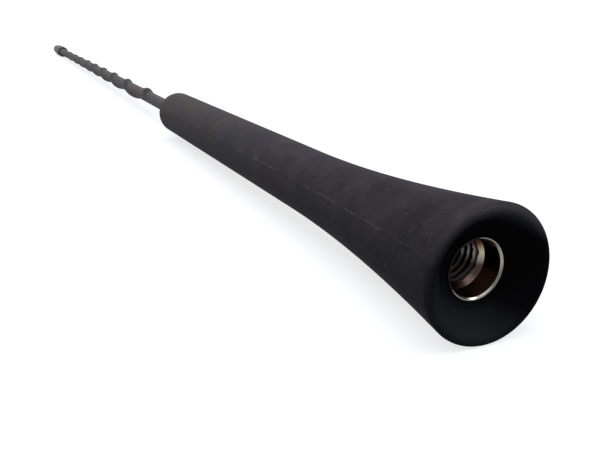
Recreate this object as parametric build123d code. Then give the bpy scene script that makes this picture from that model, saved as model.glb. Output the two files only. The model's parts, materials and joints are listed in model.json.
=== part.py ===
from build123d import *
import math
import os

# Car mast aerial: a flared rubber grip with a threaded ferrule in its mouth, and a thin mast with a
# helical ridge and a tip cap. Lengths are in millimetres and angles in degrees.
# Every piece is drawn standing on the grip's mouth, its axis on Z and its heights measured from the
# mouth plane. At the end the whole aerial is laid down once, as it comes to rest on a table.

# Whole aerial
aerial_length = 400.0
assembly_gap = 0.02

# Grip: moulded rubber, flared like a trumpet to its mouth
grip_length = 122.0
grip_radius = 4.97
lip_radius = 7.83
lip_round = 0.56
flare_angle = 7.6
shoulder_round = 1.0

# Recess in the mouth: a funnel that leads to the ferrule
mouth_radius = 6.85
funnel_depth = 2.6
funnel_floor_radius = 4.6

# Ferrule: turned brass, moulded into the grip
nose_stand_out = 0.2
nose_radius = 3.6
nose_length = 3.6
nose_chamfer = 0.15
body_radius = 4.2
body_length = 16.0
neck_radius = 2.9
neck_length = 8.0
counterbore_radius = 3.2
counterbore_depth = 2.8
lead_in_angle = 45.0
thread_bore_radius = 2.5
thread_bore_depth = 11.0
rod_socket_depth = 10.0

# Mast: spring-steel rod in a plastic sleeve with a broad helical ridge, which fades towards the tip
rod_radius = 1.2
sleeve_wall = 0.43
ridge_height = 0.68
ridge_end_height = 0.32
ridge_end_narrowing = 0.25
ridge_foot_angle = 55.0
ridge_top_angle = 25.0
ridge_root = 0.25
ridge_foot_clearance = 29.0
ridge_tip_clearance = 15.6
ridge_turns = 9
ridge_foot_opening = 10.4
ridge_opening_ratio = 0.5
ridge_clock_angle = 125.0

# Tip cap: moulded thimble that tapers to a round end, pushed onto the end of the sleeve
cap_length = 29.0
cap_radius = 2.75
cap_straight_length = 13.0
cap_tip_radius = 2.3
cap_socket_depth = 20.0

# Heights of the places where pieces meet
nose_face = funnel_depth - nose_stand_out
ferrule_shoulder = nose_face + nose_length
neck_start = ferrule_shoulder + body_length
neck_end = neck_start + neck_length
rod_start = neck_end - rod_socket_depth
cap_mouth = aerial_length - cap_length
cap_socket_end = cap_mouth + cap_socket_depth
cap_edge = cap_mouth + cap_straight_length
dome_centre = aerial_length - cap_tip_radius
ridge_start = grip_length + ridge_foot_clearance
ridge_end = cap_mouth - ridge_tip_clearance

# Radii that pieces share
lip_centre_radius = lip_radius - lip_round
sleeve_bore_radius = rod_radius + assembly_gap
sleeve_radius = sleeve_bore_radius + sleeve_wall


def turned(profile):
    """Turns a profile drawn as radius across and height up about the mast's axis."""
    return revolve(Plane.XZ * profile, Axis.Z)


def outline(*corners):
    """Closed profile of straight edges through (radius, height) corners."""
    return make_face(Polyline(*corners, close=True))


def column(radius, start, end):
    """Cylinder on the mast's axis between two heights."""
    return Pos(0, 0, start) * Solid.make_cylinder(radius, end - start)


def grip_blank():
    """The grip's outside and the funnel in its mouth, without the room for what it is moulded over."""
    slope = math.radians(flare_angle)
    flare_start = (
        lip_centre_radius + lip_round * math.cos(slope),
        lip_round + lip_round * math.sin(slope),
    )
    lip_middle_angle = math.pi / 4 + slope / 2
    lip_middle = (
        lip_centre_radius + lip_round * math.sin(lip_middle_angle),
        lip_round - lip_round * math.cos(lip_middle_angle),
    )
    # The flare is one large arc, tangent to the lip's round at one end and to the body at the other.
    flare_radius = (flare_start[0] - grip_radius) / (1 - math.cos(slope))
    flare_end = (grip_radius, flare_start[1] + flare_radius * math.sin(slope))
    flare_tangent = (-math.sin(slope), math.cos(slope))
    shoulder_start = (grip_radius, grip_length - shoulder_round)
    shoulder_end = (grip_radius - shoulder_round, grip_length)
    profile = make_face(
        [
            Line((0, funnel_depth), (funnel_floor_radius, funnel_depth)),
            Line((funnel_floor_radius, funnel_depth), (mouth_radius, 0)),
            Line((mouth_radius, 0), (lip_centre_radius, 0)),
            ThreePointArc((lip_centre_radius, 0), lip_middle, flare_start),
            TangentArc(flare_start, flare_end, tangent=flare_tangent),
            Line(flare_end, shoulder_start),
            Bezier(shoulder_start, (grip_radius, grip_length), shoulder_end),
            Line(shoulder_end, (0, grip_length)),
            Line((0, grip_length), (0, funnel_depth)),
        ]
    )
    return turned(profile)


def ferrule_blank():
    """The ferrule's outside as turned: a nose, a wider body that anchors it in the rubber, and a neck."""
    return turned(
        outline(
            (0, nose_face),
            (nose_radius - nose_chamfer, nose_face),
            (nose_radius, nose_face + nose_chamfer),
            (nose_radius, ferrule_shoulder),
            (body_radius, ferrule_shoulder),
            (body_radius, neck_start),
            (neck_radius, neck_start),
            (neck_radius, neck_end),
            (0, neck_end),
        )
    )


def stud_hole():
    """The hole for the stud: a counterbore, a coned lead-in and the bore that is tapped."""
    lead_in_start = nose_face + counterbore_depth
    lead_in = (counterbore_radius - thread_bore_radius) / math.tan(math.radians(lead_in_angle))
    thread_start = lead_in_start + lead_in
    thread_end = thread_start + thread_bore_depth
    return turned(
        outline(
            (0, nose_face),
            (counterbore_radius, nose_face),
            (counterbore_radius, lead_in_start),
            (thread_bore_radius, thread_start),
            (thread_bore_radius, thread_end),
            (0, thread_end),
        )
    )


def polar(reach, angle):
    """Point at a distance from the mast's axis and an angle from the ridge's middle."""
    return reach * math.cos(math.radians(angle)), reach * math.sin(math.radians(angle))


def ridge_section(fading):
    """The ridge across the mast: a broad hump of two flanks and a top, rooted in the sleeve's wall.

    Fading goes from 0 in the first turn to 1 in the last, where the hump is lowest and narrowest.
    """
    height = ridge_height + (ridge_end_height - ridge_height) * fading
    spread = 1 - ridge_end_narrowing * fading
    top_x, top_y = polar(sleeve_radius + height, ridge_top_angle * spread)
    foot_x, foot_y = polar(sleeve_radius, ridge_foot_angle * spread)
    root_share = ridge_root / math.hypot(foot_x - top_x, foot_y - top_y)
    side = [
        polar(sleeve_radius - ridge_root, ridge_top_angle * spread),
        (foot_x + (foot_x - top_x) * root_share, foot_y + (foot_y - top_y) * root_share),
        (top_x, top_y),
    ]
    other_side = [(x, -y) for x, y in reversed(side)]
    return (Rot(0, 0, ridge_clock_angle) * outline(*side, *other_side)).face()


def ridge_pitches():
    """Length of each turn of the ridge: the first ones are opened out, and the rest are even."""
    openings = [ridge_foot_opening * ridge_opening_ratio**turn for turn in range(ridge_turns)]
    even_pitch = (ridge_end - ridge_start - sum(openings)) / ridge_turns
    return [even_pitch + opening for opening in openings]


def make_grip():
    room_for_sleeve = column(sleeve_radius, neck_end, grip_length)
    return grip_blank() - ferrule_blank() - room_for_sleeve


def make_ferrule():
    rod_socket = column(sleeve_bore_radius, rod_start, neck_end)
    return ferrule_blank() - stud_hole() - rod_socket


def make_rod():
    return column(rod_radius, rod_start, cap_socket_end)


def make_sleeve():
    turns = []
    start = ridge_start
    for turn, pitch in enumerate(ridge_pitches()):
        section = Pos(0, 0, start) * ridge_section(turn / (ridge_turns - 1))
        turns.append(Solid.extrude_linear_with_rotation(section, (0, 0, start), (0, 0, pitch), 360))
        start += pitch
    tube = column(sleeve_radius, neck_end, cap_socket_end)
    bore = column(sleeve_bore_radius, neck_end, cap_socket_end)
    return tube.cut(bore).fuse(*turns)


def make_tip_cap():
    # The taper runs from the straight part's edge to the round end, along the end's tangent.
    onward = dome_centre - cap_edge
    taper = math.acos(cap_tip_radius / math.hypot(cap_radius, onward)) - math.atan2(onward, cap_radius)
    middle = math.pi / 4 + taper / 2
    dome_start = (cap_tip_radius * math.cos(taper), dome_centre + cap_tip_radius * math.sin(taper))
    dome_middle = (cap_tip_radius * math.cos(middle), dome_centre + cap_tip_radius * math.sin(middle))
    profile = make_face(
        [
            Line((0, cap_mouth), (cap_radius, cap_mouth)),
            Line((cap_radius, cap_mouth), (cap_radius, cap_edge)),
            Line((cap_radius, cap_edge), dome_start),
            ThreePointArc(dome_start, dome_middle, (0, aerial_length)),
            Line((0, aerial_length), (0, cap_mouth)),
        ]
    )
    return turned(profile) - column(sleeve_radius + assembly_gap, cap_mouth, cap_socket_end)


def resting_place():
    """Lays the aerial on a table, where the lip and the tip cap touch it, mouth at -X and tip at +X.

    The table is the tangent of the lip's round that touches the edge where the cap's taper starts. The
    origin is on the table, under the middle of the aerial's length.
    """
    inward = lip_centre_radius - cap_radius
    onward = cap_edge - lip_round
    droop = math.acos(-lip_round / math.hypot(inward, onward)) - math.atan2(onward, inward)
    mouth_end = lip_round * math.cos(droop) - lip_centre_radius * math.sin(droop) - lip_round
    tip_end = dome_centre * math.cos(droop) + cap_tip_radius
    table = cap_edge * math.sin(droop) + cap_radius * math.cos(droop)
    return Pos(-(mouth_end + tip_end) / 2, 0, table) * Rot(0, 90 + math.degrees(droop), 0)


pieces = {
    "grip": make_grip(),
    "threaded_ferrule": make_ferrule(),
    "mast_rod": make_rod(),
    "mast_sleeve": make_sleeve(),
    "tip_cap": make_tip_cap(),
}

os.makedirs("parts", exist_ok=True)
for name, piece in pieces.items():
    export_step(resting_place() * piece, f"parts/{name}.step")
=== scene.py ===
import json
import math

import bmesh
import bpy
from mathutils import Matrix, Vector


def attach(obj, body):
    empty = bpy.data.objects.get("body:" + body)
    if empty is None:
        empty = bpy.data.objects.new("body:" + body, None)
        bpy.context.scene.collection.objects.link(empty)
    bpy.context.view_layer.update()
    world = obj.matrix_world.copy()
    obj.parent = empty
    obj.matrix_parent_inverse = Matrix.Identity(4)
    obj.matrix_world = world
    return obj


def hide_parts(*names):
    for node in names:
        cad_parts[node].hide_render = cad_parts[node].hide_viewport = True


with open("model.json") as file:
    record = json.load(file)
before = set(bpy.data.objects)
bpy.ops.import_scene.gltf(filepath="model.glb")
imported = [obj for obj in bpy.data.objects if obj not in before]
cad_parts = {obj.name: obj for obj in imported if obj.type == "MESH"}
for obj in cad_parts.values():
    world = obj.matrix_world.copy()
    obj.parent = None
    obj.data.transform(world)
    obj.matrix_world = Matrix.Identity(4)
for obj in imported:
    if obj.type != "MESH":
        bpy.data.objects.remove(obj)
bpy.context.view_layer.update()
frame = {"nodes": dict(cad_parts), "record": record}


# Ferrule: turned from brass bar and nickel plated, with the grip moulded onto it. Its nose stands in
# the grip's mouth, and behind a counterbore it is tapped for the stud of the aerial base.
# The mast rod is pressed into a socket at its far end.

# Sizes are in millimetres. Heights are measured along the aerial, from the plane of the grip's mouth.
mm = 0.001
weld_distance = 0.001

nose_face = 2.4
nose_radius = 3.6
rim_round = 0.12
rim_cone = 0.18
broken_edge = 0.03
shoulder_height = 6.0
body_radius = 4.2
neck_start = 22.0
neck_end = 30.0
neck_radius = 2.9
turned_edge = 0.15
rod_socket_radius = 1.22
rod_socket_floor = 20.0
counterbore_radius = 3.2
counterbore_floor = 5.2
thread_start = 5.9
thread_floor = 16.9
thread_crest = 2.5
thread_root = 3.0
thread_pitch = 1.0
thread_run_out = 1.0
ferrule_columns = 96
rows_per_pitch = 16

# Flats of the thread's 60 degree section, as shares of its pitch.
root_flat = 1 / 8
crest_flat = 1 / 4

# The aerial's own frame: Z runs along its axis from the mouth to the tip, X points down and Y across.
# The stud's mount says how the aerial lies in the row's frame.
stud_mount = next(m for m in frame["record"]["mounts"] if m["name"] == "stud_thread")
mast_axis = -Vector(stud_mount["axis"]).normalized()
mouth_centre = Vector(stud_mount["pos_m"]) - thread_start * mm * mast_axis
across = Vector((0, 1, 0))
laid_down = Matrix((across.cross(mast_axis), across, mast_axis)).transposed().to_4x4()
lying = Matrix.Translation(mouth_centre) @ laid_down


def fill(made, inputs):
    """Fills a node's inputs with values or with links. A node stands for its first output in use."""
    for key, value in inputs.items():
        if isinstance(value, bpy.types.Node):
            value = next(output for output in value.outputs if output.enabled)
        if isinstance(value, bpy.types.NodeSocket):
            made.id_data.links.new(value, made.inputs[key])
        else:
            made.inputs[key].default_value = value


def node(tree, kind, inputs=None, **settings):
    """Adds a node with its settings and links. A colour Mix has its share at 0, its colours at 6 and 7."""
    made = tree.nodes.new(kind)
    for name, value in settings.items():
        setattr(made, name, value)
    fill(made, inputs or {})
    return made


def linear(hex_colour):
    """An sRGB hex colour as linear RGBA."""
    channels = [int(hex_colour[i : i + 2], 16) / 255 for i in (1, 3, 5)]
    return (*[c / 12.92 if c <= 0.04045 else ((c + 0.055) / 1.055) ** 2.4 for c in channels], 1.0)


def new_finish(name):
    """A new material, its node tree and its shader."""
    material = bpy.data.materials.new(name)
    material.use_nodes = True
    return material, material.node_tree, material.node_tree.nodes["Principled BSDF"]


def own_frame_in(tree, stretch=1):
    """Coordinates in the aerial's own frame, for patterns stretched so many times along the mast."""
    place = node(tree, "ShaderNodeTexCoord").outputs["Object"]
    return node(
        tree,
        "ShaderNodeMapping",
        {
            "Vector": place,
            "Location": mouth_centre,
            "Rotation": lying.to_euler(),
            "Scale": (1, 1, stretch),
        },
        vector_type="TEXTURE",
    )


def down_along_and_out(tree, own_frame):
    """How far a place is down from the aerial's axis, along the axis, and out from it on any side."""
    down, left, along = node(tree, "ShaderNodeSeparateXYZ", {0: own_frame}).outputs
    flat = node(tree, "ShaderNodeCombineXYZ", {0: down, 1: left})
    return down, along, node(tree, "ShaderNodeVectorMath", {0: flat}, operation="LENGTH")


# Nickel plate on turned brass: a grey metal with a warm cast and fine rings left by the lathe. The rim
# is painted dark above on the left and half as dark below on the right, as painted shade, and is darker
# round its outer edge. In the counterbore the plate is thin and has browned. The lead-in and the thread
# are painted light in their upper half and painted shade in their lower half, and painted shade fills
# the grooves of the thread.
rim_nickel = linear("#8f8a82")
# Dark colour for the rim's painted shade and its darker outer edge.
rim_dark = linear("#191716")
light_brown = linear("#7d5850")
dark_brown = linear("#5c443e")
# Painted light and painted shade for the upper and lower halves of the lead-in and the thread.
lead_in_painted_light = linear("#b0a893")
lead_in_painted_shade = linear("#3d322f")
thread_painted_light = linear("#7d7a77")
thread_painted_shade = linear("#262120")
# Painted shade for the grooves of the thread.
groove_painted_shade = linear("#221f1e")

nickel, tree, shader = new_finish("nickel_plated_turned_brass")
own_frame = own_frame_in(tree)
down, along, out = down_along_and_out(tree, own_frame)
# Lathe rings are about 0.08 mm apart, on walls and faces alike, and blotches of wear 1.6 mm across.
feed = node(tree, "ShaderNodeMath", {0: out, 1: along}, operation="SUBTRACT")
rings = node(
    tree,
    "ShaderNodeTexNoise",
    {"W": feed, "Scale": 1 / (0.08 * mm), "Detail": 2.0},
    noise_dimensions="1D",
)
rings_bump = node(tree, "ShaderNodeBump", {"Strength": 0.25, "Distance": 0.006 * mm, "Height": rings})
blotches = node(tree, "ShaderNodeTexNoise", {"Vector": own_frame, "Scale": 1 / (1.6 * mm), "Detail": 3.0})
worn = node(
    tree,
    "ShaderNodeMapRange",
    {"Value": blotches, "From Min": 0.3, "From Max": 0.7, "To Min": 0.16, "To Max": 0.3},
)
# The rim: painted shade on one side, half as much on the other, and a darker outer edge.
upper_left = node(
    tree, "ShaderNodeVectorMath", {0: own_frame, 1: (-0.5, 0.87, 0)}, operation="DOT_PRODUCT"
)
rim_darkened = node(
    tree, "ShaderNodeMapRange", {"Value": upper_left, "From Min": 0.8 * mm, "From Max": 1.8 * mm}
)
low_right = node(
    tree, "ShaderNodeVectorMath", {0: own_frame, 1: (0.6, -0.8, 0)}, operation="DOT_PRODUCT"
)
lower_right_shade = node(
    tree,
    "ShaderNodeMapRange",
    {"Value": low_right, "From Min": 2.6 * mm, "From Max": 3.1 * mm, "To Max": 0.5},
)
rim_darkened = node(tree, "ShaderNodeMath", {0: rim_darkened, 1: lower_right_shade}, operation="MAXIMUM")
dark_outer_edge = node(
    tree,
    "ShaderNodeMapRange",
    {"Value": out, "From Min": (nose_radius - 0.2) * mm, "From Max": (nose_radius - 0.08) * mm},
)
rim_darkened = node(tree, "ShaderNodeMath", {0: rim_darkened, 1: dark_outer_edge}, operation="MAXIMUM")
rim = node(tree, "ShaderNodeMix", {0: rim_darkened, 6: rim_nickel, 7: rim_dark}, data_type="RGBA")
# The counterbore, from just inside the rim.
brown = node(tree, "ShaderNodeMix", {0: blotches, 6: light_brown, 7: dark_brown}, data_type="RGBA")
in_counterbore = node(
    tree,
    "ShaderNodeMapRange",
    {"Value": along, "From Min": (nose_face + 0.16) * mm, "From Max": (nose_face + 0.5) * mm},
)
plate = node(tree, "ShaderNodeMix", {0: in_counterbore, 6: rim, 7: brown}, data_type="RGBA")
# The lead-in and the thread: painted light in their upper half and painted shade in their lower half.
in_lead_in = node(
    tree,
    "ShaderNodeMapRange",
    {
        "Value": along,
        "From Min": (counterbore_floor - 0.15) * mm,
        "From Max": (counterbore_floor + 0.05) * mm,
    },
)
in_thread = node(
    tree,
    "ShaderNodeMapRange",
    {"Value": along, "From Min": (thread_start - 0.15) * mm, "From Max": (thread_start + 0.1) * mm},
)
upper_half = node(tree, "ShaderNodeMapRange", {"Value": down, "From Min": 1.0 * mm, "From Max": -0.5 * mm})
painted_shade_plate = node(
    tree, "ShaderNodeMix", {0: in_thread, 6: lead_in_painted_shade, 7: thread_painted_shade}, data_type="RGBA"
)
painted_light_plate = node(
    tree, "ShaderNodeMix", {0: in_thread, 6: lead_in_painted_light, 7: thread_painted_light}, data_type="RGBA"
)
inner_plate = node(
    tree, "ShaderNodeMix", {0: upper_half, 6: painted_shade_plate, 7: painted_light_plate}, data_type="RGBA"
)
plate = node(tree, "ShaderNodeMix", {0: in_lead_in, 6: plate, 7: inner_plate}, data_type="RGBA")
# Painted shade in the grooves of the thread.
groove = node(
    tree,
    "ShaderNodeMapRange",
    {"Value": out, "From Min": (thread_crest + 0.1) * mm, "From Max": (thread_crest + 0.3) * mm},
)
groove = node(tree, "ShaderNodeMath", {0: groove, 1: in_thread}, operation="MULTIPLY")
plate = node(tree, "ShaderNodeMix", {0: groove, 6: plate, 7: groove_painted_shade}, data_type="RGBA")
fill(shader, {"Base Color": plate, "Metallic": 1.0, "Roughness": worn, "Normal": rings_bump})


def sized_tree(name, sizes):
    """An empty geometry tree with a named input for each size, and its group input node's outputs."""
    tree = bpy.data.node_groups.new(name, "GeometryNodeTree")
    for size, value in sizes.items():
        kind = "NodeSocketInt" if isinstance(value, int) else "NodeSocketFloat"
        tree.interface.new_socket(name=size, in_out="INPUT", socket_type=kind)
    tree.interface.new_socket(name="Mesh", in_out="OUTPUT", socket_type="NodeSocketGeometry")
    return tree, node(tree, "NodeGroupInput").outputs


def open_grid(tree, size):
    """A grid with the tree's columns and rows, and each point's share of the way round and along."""
    side = node(tree, "ShaderNodeMath", {0: size["Columns"], 1: 1}, operation="ADD")
    grid = node(tree, "GeometryNodeMeshGrid", {"Vertices X": side, "Vertices Y": size["Rows"]})
    shares = node(tree, "ShaderNodeSeparateXYZ", {0: grid.outputs["UV Map"]}).outputs
    return grid, shares[0], shares[1]


def roll_up(tree, size, grid, angle, reach, height, material):
    """Ends a tree: rolls its grid into a tube about the aerial's axis and gives it a material."""
    cosine = node(tree, "ShaderNodeMath", {0: angle}, operation="COSINE")
    sine = node(tree, "ShaderNodeMath", {0: angle}, operation="SINE")
    spot = node(
        tree,
        "ShaderNodeCombineXYZ",
        {
            0: node(tree, "ShaderNodeMath", {0: cosine, 1: reach}, operation="MULTIPLY"),
            1: node(tree, "ShaderNodeMath", {0: sine, 1: reach}, operation="MULTIPLY"),
            2: height,
        },
    )
    spot = node(tree, "ShaderNodeVectorMath", {0: spot, "Scale": size["Millimetre"]}, operation="SCALE")
    rolled = node(tree, "GeometryNodeSetPosition", {"Geometry": grid, "Position": spot})
    shown = node(tree, "GeometryNodeRealizeInstances", {0: rolled})
    shown = node(tree, "GeometryNodeSetMaterial", {"Geometry": shown, "Material": material})
    node(tree, "NodeGroupOutput", {0: shown})


def mesh_of(tree, sizes):
    """The plain mesh that a geometry tree makes from its named sizes."""
    holder = bpy.data.objects.new(tree.name, bpy.data.meshes.new(tree.name))
    bpy.context.scene.collection.objects.link(holder)
    modifier = holder.modifiers.new(tree.name, "NODES")
    modifier.node_group = tree
    for socket in tree.interface.items_tree:
        if socket.in_out == "INPUT":
            modifier[socket.identifier] = sizes[socket.name]
    evaluated = holder.evaluated_get(bpy.context.evaluated_depsgraph_get())
    mesh = bpy.data.meshes.new_from_object(evaluated)
    bpy.data.objects.remove(holder)
    return mesh


# The tapped wall is a grid rolled into a tube. Its radius follows the thread's 60 degree section, and
# the coned lead-in cuts across the first turn.
tapped_sizes = {
    "Columns": ferrule_columns,
    "Rows": int((thread_floor - counterbore_floor) / thread_pitch * rows_per_pitch),
    "Start": counterbore_floor,
    "Length": thread_floor - counterbore_floor,
    "Pitch": thread_pitch,
    "Crest radius": thread_crest,
    "Thread depth": thread_root - thread_crest,
    "Lead-in radius": counterbore_radius,
    "Run-out": thread_run_out,
    "Millimetre": mm,
}
tapped, size = sized_tree("tapped_wall", tapped_sizes)
grid, way_round, way_in = open_grid(tapped, size)
angle = node(tapped, "ShaderNodeMath", {0: way_round, 1: math.tau}, operation="MULTIPLY")
deep = node(tapped, "ShaderNodeMath", {0: way_in, 1: size["Length"]}, operation="MULTIPLY")
turns = node(tapped, "ShaderNodeMath", {0: deep, 1: size["Pitch"]}, operation="DIVIDE")
phase = node(tapped, "ShaderNodeMath", {0: turns, 1: way_round}, operation="SUBTRACT")
phase = node(tapped, "ShaderNodeMath", {0: phase, 1: 0.5, 2: -0.5}, operation="WRAP")
from_root = node(tapped, "ShaderNodeMath", {0: phase}, operation="ABSOLUTE")
flank = node(
    tapped,
    "ShaderNodeMapRange",
    {
        "Value": from_root,
        "From Min": root_flat / 2,
        "From Max": (1 - crest_flat) / 2,
        "To Min": 1.0,
        "To Max": 0.0,
    },
)
to_floor = node(tapped, "ShaderNodeMath", {0: size["Length"], 1: deep}, operation="SUBTRACT")
run_out = node(
    tapped, "ShaderNodeMath", {0: to_floor, 1: size["Run-out"]}, operation="DIVIDE", use_clamp=True
)
cut = node(tapped, "ShaderNodeMath", {0: flank, 1: run_out}, operation="MULTIPLY")
cut = node(
    tapped,
    "ShaderNodeMath",
    {0: cut, 1: size["Thread depth"], 2: size["Crest radius"]},
    operation="MULTIPLY_ADD",
)
lead_in = node(tapped, "ShaderNodeMath", {0: size["Lead-in radius"], 1: deep}, operation="SUBTRACT")
reach = node(tapped, "ShaderNodeMath", {0: cut, 1: lead_in}, operation="MAXIMUM")
height = node(tapped, "ShaderNodeMath", {0: deep, 1: size["Start"]}, operation="ADD")
roll_up(tapped, size, grid, angle, reach, height, nickel)


def rounded(corners, steps=5):
    """An outline of (radius, height) points, from corners given as (radius, height, size of the round)."""
    points = []
    for i, (radius, height, *ease) in enumerate(corners):
        here = Vector((radius, height))
        if not ease:
            points.append(here)
            continue
        back = (Vector(corners[i - 1][:2]) - here).normalized()
        ahead = (Vector(corners[(i + 1) % len(corners)][:2]) - here).normalized()
        half = back.angle(ahead) / 2
        middle = here + (back + ahead).normalized() * ease[0] / math.sin(half)
        start = here + back * ease[0] / math.tan(half) - middle
        end = here + ahead * ease[0] / math.tan(half) - middle
        for k in range(steps + 1):
            points.append(middle + start.slerp(end, k / steps).normalized() * ease[0])
    return [tuple(p) for p in points]


def turn(work, outline, angles, closed=False, lift=None):
    """Adds the surface that an outline of (radius, height) points sweeps about the aerial's axis."""
    rings = []
    for radius, height in outline:
        if radius == 0:
            rings.append([work.verts.new((0, 0, height * mm))] * len(angles))
            continue
        ring = []
        for angle in angles:
            reach = radius + (lift(angle, radius, height) if lift else 0)
            spot = (reach * math.cos(angle) * mm, reach * math.sin(angle) * mm, height * mm)
            ring.append(work.verts.new(spot))
        rings.append(ring)
    for low, high in zip(rings, rings[1:] + rings[:1] if closed else rings[1:]):
        for i in range(len(angles)):
            work.faces.new(list(dict.fromkeys([low[i - 1], low[i], high[i], high[i - 1]])))


def even_angles(columns, start=0.0):
    """Angles of a ring of even columns."""
    return [start + math.tau * i / columns for i in range(columns)]


def closed_piece(name, work, material, crease=35):
    """Makes one closed, smooth mesh object of a bmesh, laid where the aerial lies."""
    bmesh.ops.remove_doubles(work, verts=work.verts, dist=weld_distance * mm)
    bmesh.ops.recalc_face_normals(work, faces=work.faces)
    mesh = bpy.data.meshes.new(name)
    work.to_mesh(mesh)
    work.free()
    mesh.transform(lying)
    mesh.materials.clear()
    mesh.materials.append(material)
    mesh.shade_smooth()
    mesh.set_sharp_from_angle(angle=math.radians(crease))
    piece = bpy.data.objects.new(name, mesh)
    bpy.context.scene.collection.objects.link(piece)
    return piece


# The outside as turned and the floor of the hole close the tapped wall to one solid shape.
work = bmesh.new()
work.from_mesh(mesh_of(tapped, tapped_sizes))
ferrule_angles = even_angles(ferrule_columns)
ferrule_outline = rounded(
    [
        (0, rod_socket_floor),
        (rod_socket_radius, rod_socket_floor),
        (rod_socket_radius, neck_end),
        (neck_radius, neck_end, turned_edge),
        (neck_radius, neck_start),
        (body_radius, neck_start, turned_edge),
        (body_radius, shoulder_height, turned_edge),
        (nose_radius, shoulder_height),
        (nose_radius, nose_face, rim_round),
        (counterbore_radius + rim_cone, nose_face, broken_edge),
        (counterbore_radius, nose_face + rim_cone, broken_edge),
        (counterbore_radius, counterbore_floor),
    ]
)
turn(work, ferrule_outline, ferrule_angles)
turn(work, [(thread_crest, thread_floor), (0, thread_floor)], ferrule_angles)
ferrule = closed_piece("ferrule_with_thread", work, nickel)
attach(ferrule, "root")
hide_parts("threaded_ferrule")


# Mast rod: drawn spring steel, pressed into the ferrule and running up to the tip cap. The sleeve
# covers it all the way, so the CAD node stays as it is and gets its steel.

# Drawn spring steel: a dark grey metal with fine lines along the wire from the die. The lines are
# about 0.1 mm wide and sixty times as long.
light_steel = linear("#979694")
dark_steel = linear("#838281")
die_line_stretch = 60

steel, tree, shader = new_finish("drawn_spring_steel")
own_frame = own_frame_in(tree, die_line_stretch)
die_lines = node(tree, "ShaderNodeTexNoise", {"Vector": own_frame, "Scale": 1 / (0.1 * mm), "Detail": 2.0})
drawn = node(tree, "ShaderNodeMapRange", {"Value": die_lines, "To Min": 0.28, "To Max": 0.45})
steel_colour = node(tree, "ShaderNodeMix", {0: die_lines, 6: dark_steel, 7: light_steel}, data_type="RGBA")
fill(shader, {"Base Color": steel_colour, "Metallic": 1.0, "Roughness": drawn})
frame["nodes"]["mast_rod"].data.materials.clear()
frame["nodes"]["mast_rod"].data.materials.append(steel)


# Mast sleeve: black plastic drawn tight over the rod, with a helical ridge under its skin that keeps
# the mast from whistling in the wind. The ridge starts a little above the grip, its first turns are
# opened out, and it fades towards the cap.

sleeve_radius = 1.65
sleeve_end = 391.0
ridge_start = 151.0
ridge_end = 355.4
ridge_turns = 9
ridge_foot_opening = 10.4
ridge_opening_ratio = 0.5
ridge_clock_angle = math.radians(125)
ridge_height = 0.73
ridge_end_height = 0.2
ridge_half_angle = math.radians(53)
ridge_steepness = 2.5
ridge_ramp = 0.08
sleeve_columns = 72
rows_per_turn = 40

# The turns' lengths fall by a fixed ratio towards an even pitch. The turn at which the sleeve ends
# depends on itself, and a few tries settle it.
opening_sum = ridge_foot_opening * (1 - ridge_opening_ratio**ridge_turns) / (1 - ridge_opening_ratio)
even_pitch = (ridge_end - ridge_start - opening_sum) / ridge_turns
opening_reach = ridge_foot_opening / (1 - ridge_opening_ratio)
last_turn = (sleeve_end - ridge_start - opening_reach) / even_pitch
settling_tries = 9
for _ in range(settling_tries):
    opened_out = opening_reach * (1 - ridge_opening_ratio**last_turn)
    last_turn = (sleeve_end - ridge_start - opened_out) / even_pitch

# The mesh twists with the ridge. Below it the twist goes on at a rate that brings the columns of the
# tube's two ends in line.
foot_pitch = even_pitch - opening_reach * math.log(ridge_opening_ratio)
whole_columns = round((last_turn - (neck_end - ridge_start) / foot_pitch) * sleeve_columns)
first_turn = last_turn - whole_columns / sleeve_columns
foot_pitch = (neck_end - ridge_start) / first_turn

# Polyolefin sleeve, shrunk on: black gone grey, matte, with brownish and bluish patches from weather.
# The crests of the ridge are painted darker, as painted shade, most of all on the upper side.
bluish_grey = linear("#46464c")
brownish_grey = linear("#544d4c")
# Painted shade for the ridge's crests.
crest_painted_shade = linear("#26262a")

sleeve_plastic, tree, shader = new_finish("shrunk_polyolefin")
place = node(tree, "ShaderNodeTexCoord").outputs["Object"]
# Skin grain is about 0.2 mm across, and twice that here, so that it shows. Weathered patches are
# about 12 mm long.
skin = node(tree, "ShaderNodeTexNoise", {"Vector": place, "Scale": 1 / (0.4 * mm), "Detail": 3.0})
skin_bump = node(tree, "ShaderNodeBump", {"Strength": 0.5, "Distance": 0.1 * mm, "Height": skin})
weathered = node(tree, "ShaderNodeTexNoise", {"Vector": place, "Scale": 1 / (12 * mm), "Detail": 5.0})
patches = node(tree, "ShaderNodeMapRange", {"Value": weathered, "From Min": 0.4, "From Max": 0.6})
sleeve_colour = node(
    tree, "ShaderNodeMix", {0: patches, 6: bluish_grey, 7: brownish_grey}, data_type="RGBA"
)
down, _, out = down_along_and_out(tree, own_frame_in(tree))
# Painted shade on the crests, strongest on the upper side.
crest_shade = node(tree, "ShaderNodeMapRange", {"Value": out, "From Min": 1.8 * mm, "From Max": 2.3 * mm})
upper_side = node(
    tree,
    "ShaderNodeMapRange",
    {"Value": down, "From Min": 0.3 * mm, "From Max": -1.6 * mm, "To Min": 0.2, "To Max": 0.9},
)
crest_shade = node(tree, "ShaderNodeMath", {0: crest_shade, 1: upper_side}, operation="MULTIPLY")
sleeve_colour = node(tree, "ShaderNodeMix", {0: crest_shade, 6: sleeve_colour, 7: crest_painted_shade}, data_type="RGBA")
satin = node(tree, "ShaderNodeMapRange", {"Value": weathered, "To Min": 0.55, "To Max": 0.8})
fill(
    shader,
    {
        "Base Color": sleeve_colour,
        "Roughness": satin,
        "IOR": 1.49,
        "Specular IOR Level": 0.1,
        "Normal": skin_bump,
    },
)

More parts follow.
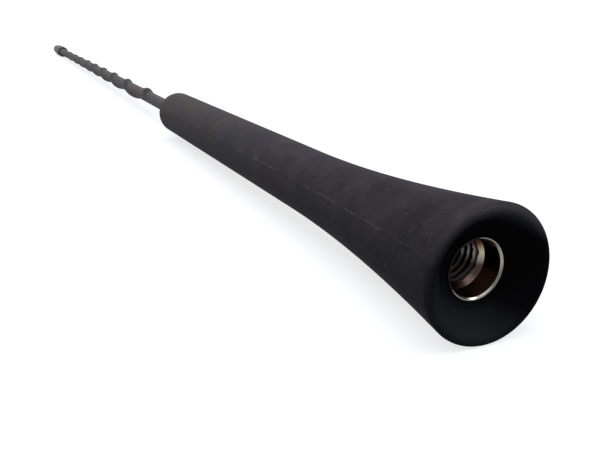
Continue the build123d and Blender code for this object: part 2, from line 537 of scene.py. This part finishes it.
wound_sizes = {
    "Columns": sleeve_columns,
    "Rows": int((last_turn - first_turn) * rows_per_turn),
    "First turn": first_turn,
    "Last turn": last_turn,
    "Turns": float(ridge_turns),
    "Ridge start": ridge_start,
    "Foot pitch": foot_pitch,
    "Even pitch": even_pitch,
    "Opening reach": opening_reach,
    "Opening ratio": ridge_opening_ratio,
    "Clock angle": ridge_clock_angle,
    "Sleeve radius": sleeve_radius,
    "Ridge height": ridge_height,
    "Ridge end height": ridge_end_height,
    "Ridge half angle": ridge_half_angle,
    "Ridge steepness": ridge_steepness,
    "Ramp": ridge_ramp,
    "Millimetre": mm,
}
wound, size = sized_tree("wound_sleeve", wound_sizes)
grid, way_round, way_up = open_grid(wound, size)
turned_by = node(
    wound,
    "ShaderNodeMapRange",
    {"Value": way_up, "To Min": size["First turn"], "To Max": size["Last turn"]},
)
# Height along the mast: even turns, the opening of the first ones, and a plain stretch below them.
wound_turns = node(wound, "ShaderNodeMath", {0: turned_by, 1: 0.0}, operation="MAXIMUM")
plain_turns = node(wound, "ShaderNodeMath", {0: turned_by, 1: 0.0}, operation="MINIMUM")
closing = node(wound, "ShaderNodeMath", {0: size["Opening ratio"], 1: wound_turns}, operation="POWER")
opened = node(wound, "ShaderNodeMath", {0: 1.0, 1: closing}, operation="SUBTRACT")
height = size["Ridge start"]
for count, length in (
    (opened, size["Opening reach"]),
    (wound_turns, size["Even pitch"]),
    (plain_turns, size["Foot pitch"]),
):
    height = node(wound, "ShaderNodeMath", {0: count, 1: length, 2: height}, operation="MULTIPLY_ADD")
# The grid's columns twist with the ridge, so each column keeps its angle from the ridge's middle.
spread = node(wound, "ShaderNodeMath", {0: way_round, 1: 0.5}, operation="SUBTRACT")
spread = node(wound, "ShaderNodeMath", {0: spread, 1: math.tau}, operation="MULTIPLY")
# The ridge across the mast is a bell, flat on top. Its height falls towards the tip, and it rises from
# the sleeve and sinks into it within a short part of a turn.
away = node(wound, "ShaderNodeMath", {0: spread}, operation="ABSOLUTE")
away = node(wound, "ShaderNodeMath", {0: away, 1: size["Ridge half angle"]}, operation="DIVIDE")
away = node(wound, "ShaderNodeMath", {0: away, 1: size["Ridge steepness"]}, operation="POWER")
bell = node(wound, "ShaderNodeMath", {0: math.exp(-1), 1: away}, operation="POWER")
high = node(
    wound,
    "ShaderNodeMapRange",
    {
        "Value": turned_by,
        "From Max": size["Turns"],
        "To Min": size["Ridge height"],
        "To Max": size["Ridge end height"],
    },
)
to_end = node(wound, "ShaderNodeMath", {0: size["Turns"], 1: turned_by}, operation="SUBTRACT")
for turns_away in (turned_by, to_end):
    ramp = node(
        wound,
        "ShaderNodeMapRange",
        {"Value": turns_away, "From Max": size["Ramp"]},
        interpolation_type="SMOOTHSTEP",
    )
    high = node(wound, "ShaderNodeMath", {0: high, 1: ramp}, operation="MULTIPLY")
reach = node(
    wound, "ShaderNodeMath", {0: bell, 1: high, 2: size["Sleeve radius"]}, operation="MULTIPLY_ADD"
)
angle = node(wound, "ShaderNodeMath", {0: turned_by, 1: math.tau, 2: spread}, operation="MULTIPLY_ADD")
angle = node(wound, "ShaderNodeMath", {0: angle, 1: size["Clock angle"]}, operation="ADD")
roll_up(wound, size, grid, angle, reach, height, sleeve_plastic)

work = bmesh.new()
work.from_mesh(mesh_of(wound, wound_sizes))
# The bore and the two end rings close the tube.
turn(
    work,
    [
        (sleeve_radius, neck_end),
        (rod_socket_radius, neck_end),
        (rod_socket_radius, sleeve_end),
        (sleeve_radius, sleeve_end),
    ],
    even_angles(sleeve_columns, ridge_clock_angle - math.pi + math.tau * first_turn),
)
sleeve = closed_piece("ridged_sleeve", work, sleeve_plastic, crease=60)
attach(sleeve, "root")
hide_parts("mast_sleeve")


# Grip: black rubber moulded over the ferrule and the foot of the sleeve, flared like a trumpet to its
# mouth, with a funnel there that leads the stud into the ferrule. The two halves of the mould leave
# a fine line along each side.

grip_length = 122.0
grip_radius = 4.97
lip_radius = 7.83
lip_round = 0.56
flare_angle = math.radians(7.6)
shoulder_round = 1.0
mouth_radius = 6.85
mouth_easing = 0.9
funnel_depth = 2.6
funnel_floor_radius = 4.6
funnel_easing = 0.25
grip_columns = 144
lip_rows = 10
flare_rows = 40
body_rows = 24

# The parting lines start above the lip and fade out over these lengths at both ends.
parting_line_angle = math.radians(111)
parting_line_height = 0.05
parting_line_half_width = 0.11
parting_line_start = 1.5
parting_line_foot_fade = 3.0
parting_line_shoulder_fade = 2.0
parting_line_columns = 5

# From the funnel's floor to the lip, round the lip, up the flare and the body, over the shoulder, and
# back inside along what the grip is moulded over.
lip_centre = (lip_radius - lip_round, lip_round)
lip_turn = math.pi / 2 + flare_angle
flare_foot_radius = lip_centre[0] + lip_round * math.cos(flare_angle)
flare_foot = lip_centre[1] + lip_round * math.sin(flare_angle)
flare_radius = (flare_foot_radius - grip_radius) / (1 - math.cos(flare_angle))
flare_end = flare_foot + flare_radius * math.sin(flare_angle)
shoulder_start = grip_length - shoulder_round
grip_outline = rounded(
    [
        (nose_radius, shoulder_height),
        (nose_radius, funnel_depth),
        (funnel_floor_radius, funnel_depth, funnel_easing),
        (mouth_radius, 0, mouth_easing),
        (lip_centre[0], 0),
    ]
)
for k in range(1, lip_rows + 1):
    angle = lip_turn * k / lip_rows
    lip_point = (lip_centre[0] + lip_round * math.sin(angle), lip_centre[1] - lip_round * math.cos(angle))
    grip_outline.append(lip_point)
for k in range(1, flare_rows + 1):
    height = flare_foot + (flare_end - flare_foot) * k / flare_rows
    sagitta = flare_radius - math.sqrt(flare_radius**2 - (flare_end - height) ** 2)
    grip_outline.append((grip_radius + sagitta, height))
for k in range(1, body_rows):
    grip_outline.append((grip_radius, flare_end + (shoulder_start - flare_end) * k / body_rows))
grip_outline += rounded(
    [
        (grip_radius, shoulder_start - shoulder_round),
        (grip_radius, grip_length, shoulder_round),
        (sleeve_radius, grip_length),
        (sleeve_radius, neck_end),
        (neck_radius, neck_end),
        (neck_radius, neck_start),
        (body_radius, neck_start),
        (body_radius, shoulder_height),
    ]
)

# Columns crowd together at the two parting lines, so that the lines have a shape of their own.
parting_lines = [parting_line_angle, parting_line_angle + math.pi]
line_step = parting_line_half_width / 2 / grip_radius
line_room = (parting_line_columns + 1.5) * line_step
steps_aside = range(-parting_line_columns, parting_line_columns + 1)
grip_angles = [line + line_step * k for line in parting_lines for k in steps_aside]
for angle in even_angles(grip_columns):
    if all(abs(angle - line) > line_room for line in parting_lines):
        grip_angles.append(angle)
grip_angles.sort()


def parting_line(angle, radius, height):
    """Height of the mould's line at a place on the grip. It fades out at the lip and at the shoulder."""
    inside = radius < grip_radius - 0.01
    if inside or height < parting_line_start:
        return 0
    away = min(abs(angle - line) for line in parting_lines) * radius
    fade = min(
        1,
        (height - parting_line_start) / parting_line_foot_fade,
        (shoulder_start - height) / parting_line_shoulder_fade,
    )
    return parting_line_height * max(0, fade) * math.exp(-((away / parting_line_half_width) ** 2))


# EPDM rubber, moulded: a matte black that has greyed outside, with a fine grain from the mould, cloudy
# patches and a little dust. It is painted lighter towards the far end as sheen, and painted darker as
# shade on the underside by the mouth and in the recess, with a painted highlight on the lip.
cloud_dark = linear("#242328")
cloud_light = linear("#423f45")
# Greys of the painted sheen towards the far end.
cool_far_end_grey = linear("#5f5d66")
warm_far_end_grey = linear("#655c57")
shaded_black = linear("#17171a")
dust_grey = linear("#6e6b70")
worn_line_grey = linear("#77757a")
# Painted shade and painted light in the recess.
recess_painted_shade = linear("#070709")
recess_painted_light = linear("#212226")
# Painted highlight on the lip.
lip_painted_highlight = linear("#5c5b60")

rubber, tree, shader = new_finish("moulded_epdm_rubber")
own_frame = own_frame_in(tree)
down, along, out = down_along_and_out(tree, own_frame)
# Mould grain is about 0.2 mm, and twice that here, so that it shows. Cloudy patches are about 7 mm and
# dust about 0.35 mm across.
grain = node(tree, "ShaderNodeTexNoise", {"Vector": own_frame, "Scale": 1 / (0.4 * mm), "Detail": 3.0})
grain_bump = node(tree, "ShaderNodeBump", {"Strength": 0.6, "Distance": 0.1 * mm, "Height": grain})
clouds = node(
    tree,
    "ShaderNodeTexNoise",
    {"Vector": own_frame, "Scale": 1 / (7 * mm), "Detail": 6.0, "Roughness": 0.75},
)
mottled = node(tree, "ShaderNodeMapRange", {"Value": clouds, "From Min": 0.25, "From Max": 0.75})
matte = node(tree, "ShaderNodeMapRange", {"Value": clouds, "To Min": 0.55, "To Max": 0.75})
rubber_tone = node(tree, "ShaderNodeMix", {0: mottled, 6: cloud_dark, 7: cloud_light}, data_type="RGBA")
# Painted sheen: it is lighter towards the far end, to a grey with warm and cool patches about 14 mm
# across.
far_end_sheen = node(
    tree,
    "ShaderNodeMapRange",
    {"Value": along, "From Min": 18 * mm, "From Max": grip_length * mm, "To Max": 0.46},
)
patches = node(tree, "ShaderNodeTexNoise", {"Vector": own_frame, "Scale": 1 / (14 * mm), "Detail": 2.0})
patches = node(tree, "ShaderNodeMapRange", {"Value": patches, "From Min": 0.4, "From Max": 0.6})
far_end_grey = node(
    tree, "ShaderNodeMix", {0: patches, 6: cool_far_end_grey, 7: warm_far_end_grey}, data_type="RGBA"
)
rubber_tone = node(tree, "ShaderNodeMix", {0: far_end_sheen, 6: rubber_tone, 7: far_end_grey}, data_type="RGBA")
# Painted shade: the underside of the flare is darker, most of all close to the mouth.
underside_shade = node(tree, "ShaderNodeMath", {0: along, 1: -0.5, 2: down}, operation="MULTIPLY_ADD")
underside_shade = node(
    tree,
    "ShaderNodeMapRange",
    {"Value": underside_shade, "From Min": -8 * mm, "From Max": 2 * mm, "To Max": 0.6},
)
rubber_tone = node(tree, "ShaderNodeMix", {0: underside_shade, 6: rubber_tone, 7: shaded_black}, data_type="RGBA")
dust = node(tree, "ShaderNodeTexNoise", {"Vector": own_frame, "Scale": 1 / (0.9 * mm), "Detail": 2.0})
specks = node(
    tree, "ShaderNodeMapRange", {"Value": dust, "From Min": 0.68, "From Max": 0.8, "To Max": 0.22}
)
dusted = node(tree, "ShaderNodeMix", {0: specks, 6: rubber_tone, 7: dust_grey}, data_type="RGBA")
# The crest of the parting line has worn light, in stretches of about 3 mm, where a hand turns the grip.
line_normal = (math.sin(parting_line_angle), -math.cos(parting_line_angle), 0)
off_line = node(tree, "ShaderNodeVectorMath", {0: own_frame, 1: line_normal}, operation="DOT_PRODUCT")
off_line = node(tree, "ShaderNodeMath", {0: off_line}, operation="ABSOLUTE")
on_line = node(
    tree,
    "ShaderNodeMapRange",
    {"Value": off_line, "From Min": 2 * parting_line_half_width * mm, "From Max": 0.0},
)
stretches = node(tree, "ShaderNodeTexNoise", {"Vector": own_frame, "Scale": 1 / (3 * mm), "Detail": 3.0})
line_wear = node(
    tree, "ShaderNodeMapRange", {"Value": stretches, "From Min": 0.48, "From Max": 0.68, "To Max": 0.4}
)
off_hand = node(tree, "ShaderNodeMath", {0: along, 1: 36 * mm}, operation="SUBTRACT")
off_hand = node(tree, "ShaderNodeMath", {0: off_hand}, operation="ABSOLUTE")
under_hand = node(
    tree,
    "ShaderNodeMapRange",
    {"Value": off_hand, "From Min": 34 * mm, "From Max": 18 * mm, "To Min": 0.1},
)
for limit in (on_line, under_hand):
    line_wear = node(tree, "ShaderNodeMath", {0: line_wear, 1: limit}, operation="MULTIPLY")
lined = node(tree, "ShaderNodeMix", {0: line_wear, 6: dusted, 7: worn_line_grey}, data_type="RGBA")
# From the lip inwards, the rubber is painted near black, as painted shade. Greying is told by radius in
# the funnel, by radius and height on the outside of the lip, and it reaches further over the lip above
# and on the left.
outside = node(tree, "ShaderNodeMapRange", {"Value": out, "From Min": 6.9 * mm, "From Max": 7.3 * mm})
over_lip = node(tree, "ShaderNodeMath", {0: outside, 1: along, 2: out}, operation="MULTIPLY_ADD")
upper_left = node(
    tree, "ShaderNodeVectorMath", {0: own_frame, 1: (-0.22, 0.045, 0)}, operation="DOT_PRODUCT"
)
inwards = node(tree, "ShaderNodeMath", {0: over_lip, 1: upper_left}, operation="ADD")
mouth = node(
    tree,
    "ShaderNodeMapRange",
    {"Value": inwards, "From Min": 9.3 * mm, "From Max": 7.2 * mm},
    interpolation_type="SMOOTHSTEP",
)
by_mouth = node(tree, "ShaderNodeMapRange", {"Value": along, "From Min": 6.0 * mm, "From Max": 4.5 * mm})
mouth = node(tree, "ShaderNodeMath", {0: mouth, 1: by_mouth}, operation="MULTIPLY")
# Painted light: the lower part of the recess is lighter, and the rest is painted shade.
low_side = node(
    tree, "ShaderNodeVectorMath", {0: own_frame, 1: (0.87, 0.5, 0)}, operation="DOT_PRODUCT"
)
lit_low_side = node(
    tree, "ShaderNodeMapRange", {"Value": low_side, "From Min": 1.5 * mm, "From Max": 6 * mm}
)
deep_black = node(tree, "ShaderNodeMix", {0: lit_low_side, 6: recess_painted_shade, 7: recess_painted_light}, data_type="RGBA")
rubber_colour = node(tree, "ShaderNodeMix", {0: mouth, 6: lined, 7: deep_black}, data_type="RGBA")
# Painted highlight: above on the right, the lip is lighter where its inner edge starts. It fades into the
# funnel.
upper_right = node(
    tree, "ShaderNodeVectorMath", {0: own_frame, 1: (-0.94, -0.34, 0)}, operation="DOT_PRODUCT"
)
lip_highlight = node(
    tree,
    "ShaderNodeMapRange",
    {"Value": upper_right, "From Min": 5.0 * mm, "From Max": 7.0 * mm, "To Max": 0.45},
)
inner_end = node(
    tree, "ShaderNodeMapRange", {"Value": over_lip, "From Min": 5.6 * mm, "From Max": 7.0 * mm}
)
outer_end = node(
    tree, "ShaderNodeMapRange", {"Value": over_lip, "From Min": 7.9 * mm, "From Max": 7.3 * mm}
)
for limit in (inner_end, outer_end, by_mouth):
    lip_highlight = node(tree, "ShaderNodeMath", {0: lip_highlight, 1: limit}, operation="MULTIPLY")
rubber_colour = node(
    tree, "ShaderNodeMix", {0: lip_highlight, 6: rubber_colour, 7: lip_painted_highlight}, data_type="RGBA"
)
fill(
    shader,
    {
        "Base Color": rubber_colour,
        "Roughness": matte,
        "IOR": 1.48,
        "Specular IOR Level": 0.01,
        "Normal": grain_bump,
    },
)

work = bmesh.new()
turn(work, grip_outline, grip_angles, closed=True, lift=parting_line)
grip = closed_piece("flared_grip", work, rubber)
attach(grip, "root")
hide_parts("grip")


# Tip cap: a moulded thimble of black plastic that tapers to a round end. It is pushed onto the end of
# the sleeve and glued, and keeps the weather from the end of the rod.

cap_radius = 2.75
cap_mouth = 371.0
cap_edge = 384.0
cap_end = 400.0
cap_tip_radius = 2.3
cap_mouth_easing = 0.6
cap_bore_radius = 1.67
cap_columns = 72
dome_rows = 16

# Moulded ABS: black that the sun has greyed, satin, lighter than the rubber.
faded_grey = linear("#48484a")
chalky_grey = linear("#626261")

cap_plastic, tree, shader = new_finish("moulded_abs")
place = node(tree, "ShaderNodeTexCoord").outputs["Object"]
# Spark-eroded mould texture is about 0.15 mm across, and twice that here, so that it shows. Faded
# patches are about 3 mm across.
eroded = node(tree, "ShaderNodeTexNoise", {"Vector": place, "Scale": 1 / (0.3 * mm), "Detail": 2.0})
eroded_bump = node(tree, "ShaderNodeBump", {"Strength": 0.5, "Distance": 0.08 * mm, "Height": eroded})
faded = node(tree, "ShaderNodeTexNoise", {"Vector": place, "Scale": 1 / (3 * mm), "Detail": 3.0})
cap_colour = node(tree, "ShaderNodeMix", {0: faded, 6: faded_grey, 7: chalky_grey}, data_type="RGBA")
chalky = node(tree, "ShaderNodeMapRange", {"Value": faded, "To Min": 0.5, "To Max": 0.7})
fill(
    shader,
    {
        "Base Color": cap_colour,
        "Roughness": chalky,
        "IOR": 1.52,
        "Specular IOR Level": 0.15,
        "Normal": eroded_bump,
    },
)

# The taper runs from the straight part's edge to the round end, along the end's tangent.
dome_centre = cap_end - cap_tip_radius
onward = dome_centre - cap_edge
cap_taper = math.acos(cap_tip_radius / math.hypot(cap_radius, onward)) - math.atan2(onward, cap_radius)
cap_outline = [(0, cap_end)]
for k in range(1, dome_rows + 1):
    angle = math.pi / 2 - (math.pi / 2 - cap_taper) * k / dome_rows
    cap_outline.append((cap_tip_radius * math.cos(angle), dome_centre + cap_tip_radius * math.sin(angle)))
cap_outline += rounded(
    [
        (cap_radius, cap_edge),
        (cap_radius, cap_mouth, cap_mouth_easing),
        (cap_bore_radius, cap_mouth),
        (cap_bore_radius, sleeve_end),
        (0, sleeve_end),
    ]
)
work = bmesh.new()
turn(work, cap_outline, even_angles(cap_columns))
cap = closed_piece("domed_tip_cap", work, cap_plastic)
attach(cap, "root")
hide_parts("tip_cap")


# Studio: a wide floor of white paper in a white room. A soft light above gives most of the light, a
# small one beside the mouth gives the ring its glint, and the room gives a little from all round.

floor_half = 30.0
floor_glow = 0.76
room_light = 0.12
# Each light: its name, its strength, its angle across in degrees, and the direction that it comes from.
soft_light = ("soft_light_above", 2.9, 70, (-0.12, 0.25, 1))
small_light = ("small_light_beside", 0.6, 18, (-0.35, -0.61, 0.68))

work = bmesh.new()
bmesh.ops.create_grid(work, x_segments=1, y_segments=1, size=floor_half)
floor_mesh = bpy.data.meshes.new("studio_floor")
work.to_mesh(floor_mesh)
work.free()
floor = bpy.data.objects.new("studio_floor", floor_mesh)
bpy.context.scene.collection.objects.link(floor)


def seen_in(tree):
    """One for rays from the camera, from a reflection or through glass, and nothing for the others."""
    rays = node(tree, "ShaderNodeLightPath").outputs
    seen = node(
        tree, "ShaderNodeMath", {0: rays["Is Camera Ray"], 1: rays["Is Glossy Ray"]}, operation="ADD"
    )
    return node(
        tree, "ShaderNodeMath", {0: seen, 1: rays["Is Transmission Ray"]}, operation="ADD", use_clamp=True
    )


# Studio paper: white to the eye and in reflections, while what it throws back on the aerial is dim.
paper = bpy.data.materials.new("white_studio_paper")
paper.use_nodes = True
tree = paper.node_tree
tree.nodes.clear()
sheet = node(tree, "ShaderNodeBsdfDiffuse", {"Color": linear("#8f949d")})
glow = node(tree, "ShaderNodeMath", {0: seen_in(tree), 1: floor_glow}, operation="MULTIPLY")
glow = node(tree, "ShaderNodeEmission", {"Strength": glow})
both = node(tree, "ShaderNodeAddShader", {0: sheet, 1: glow})
node(tree, "ShaderNodeOutputMaterial", {"Surface": both})
floor_mesh.materials.append(paper)

for name, strength, angle_across, source in (soft_light, small_light):
    light = bpy.data.lights.new(name, "SUN")
    light.energy = strength
    light.angle = math.radians(angle_across)
    light_object = bpy.data.objects.new(name, light)
    light_object.rotation_euler = Vector(source).to_track_quat("Z", "Y").to_euler()
    bpy.context.scene.collection.objects.link(light_object)

# The room is white to the eye and in reflections as well, and dim in the light that it gives.
world = bpy.data.worlds.new("pale_room")
world.use_nodes = True
tree = world.node_tree
tree.nodes.clear()
level = node(tree, "ShaderNodeMapRange", {"Value": seen_in(tree), "To Min": room_light, "To Max": 1.0})
room = node(tree, "ShaderNodeBackground", {"Color": (1, 1, 1, 1), "Strength": level})
node(tree, "ShaderNodeOutputWorld", {"Surface": room})
bpy.context.scene.world = world

# The camera looks down along the aerial from beside its mouth, as the photograph does. Its focal length
# is in the photograph's pixels, and its angles are in degrees.
picture_width = 600
focal_length = 696
sensor_width = 36.0
looks_down = 18.711
looks_aside = 24.343
camera_data = bpy.data.cameras.new("photograph_view")
camera_data.sensor_width = sensor_width
camera_data.lens = sensor_width * focal_length / picture_width
camera_data.clip_start = 0.005
camera_data.clip_end = 200.0
camera = bpy.data.objects.new("photograph_view", camera_data)
camera.location = (-0.25120, 0.04450, 0.03526)
camera.rotation_euler = (math.radians(90 - looks_down), 0, math.radians(-90 - looks_aside))
bpy.context.scene.collection.objects.link(camera)
bpy.context.scene.camera = camera
bpy.context.scene.view_settings.view_transform = "Standard"
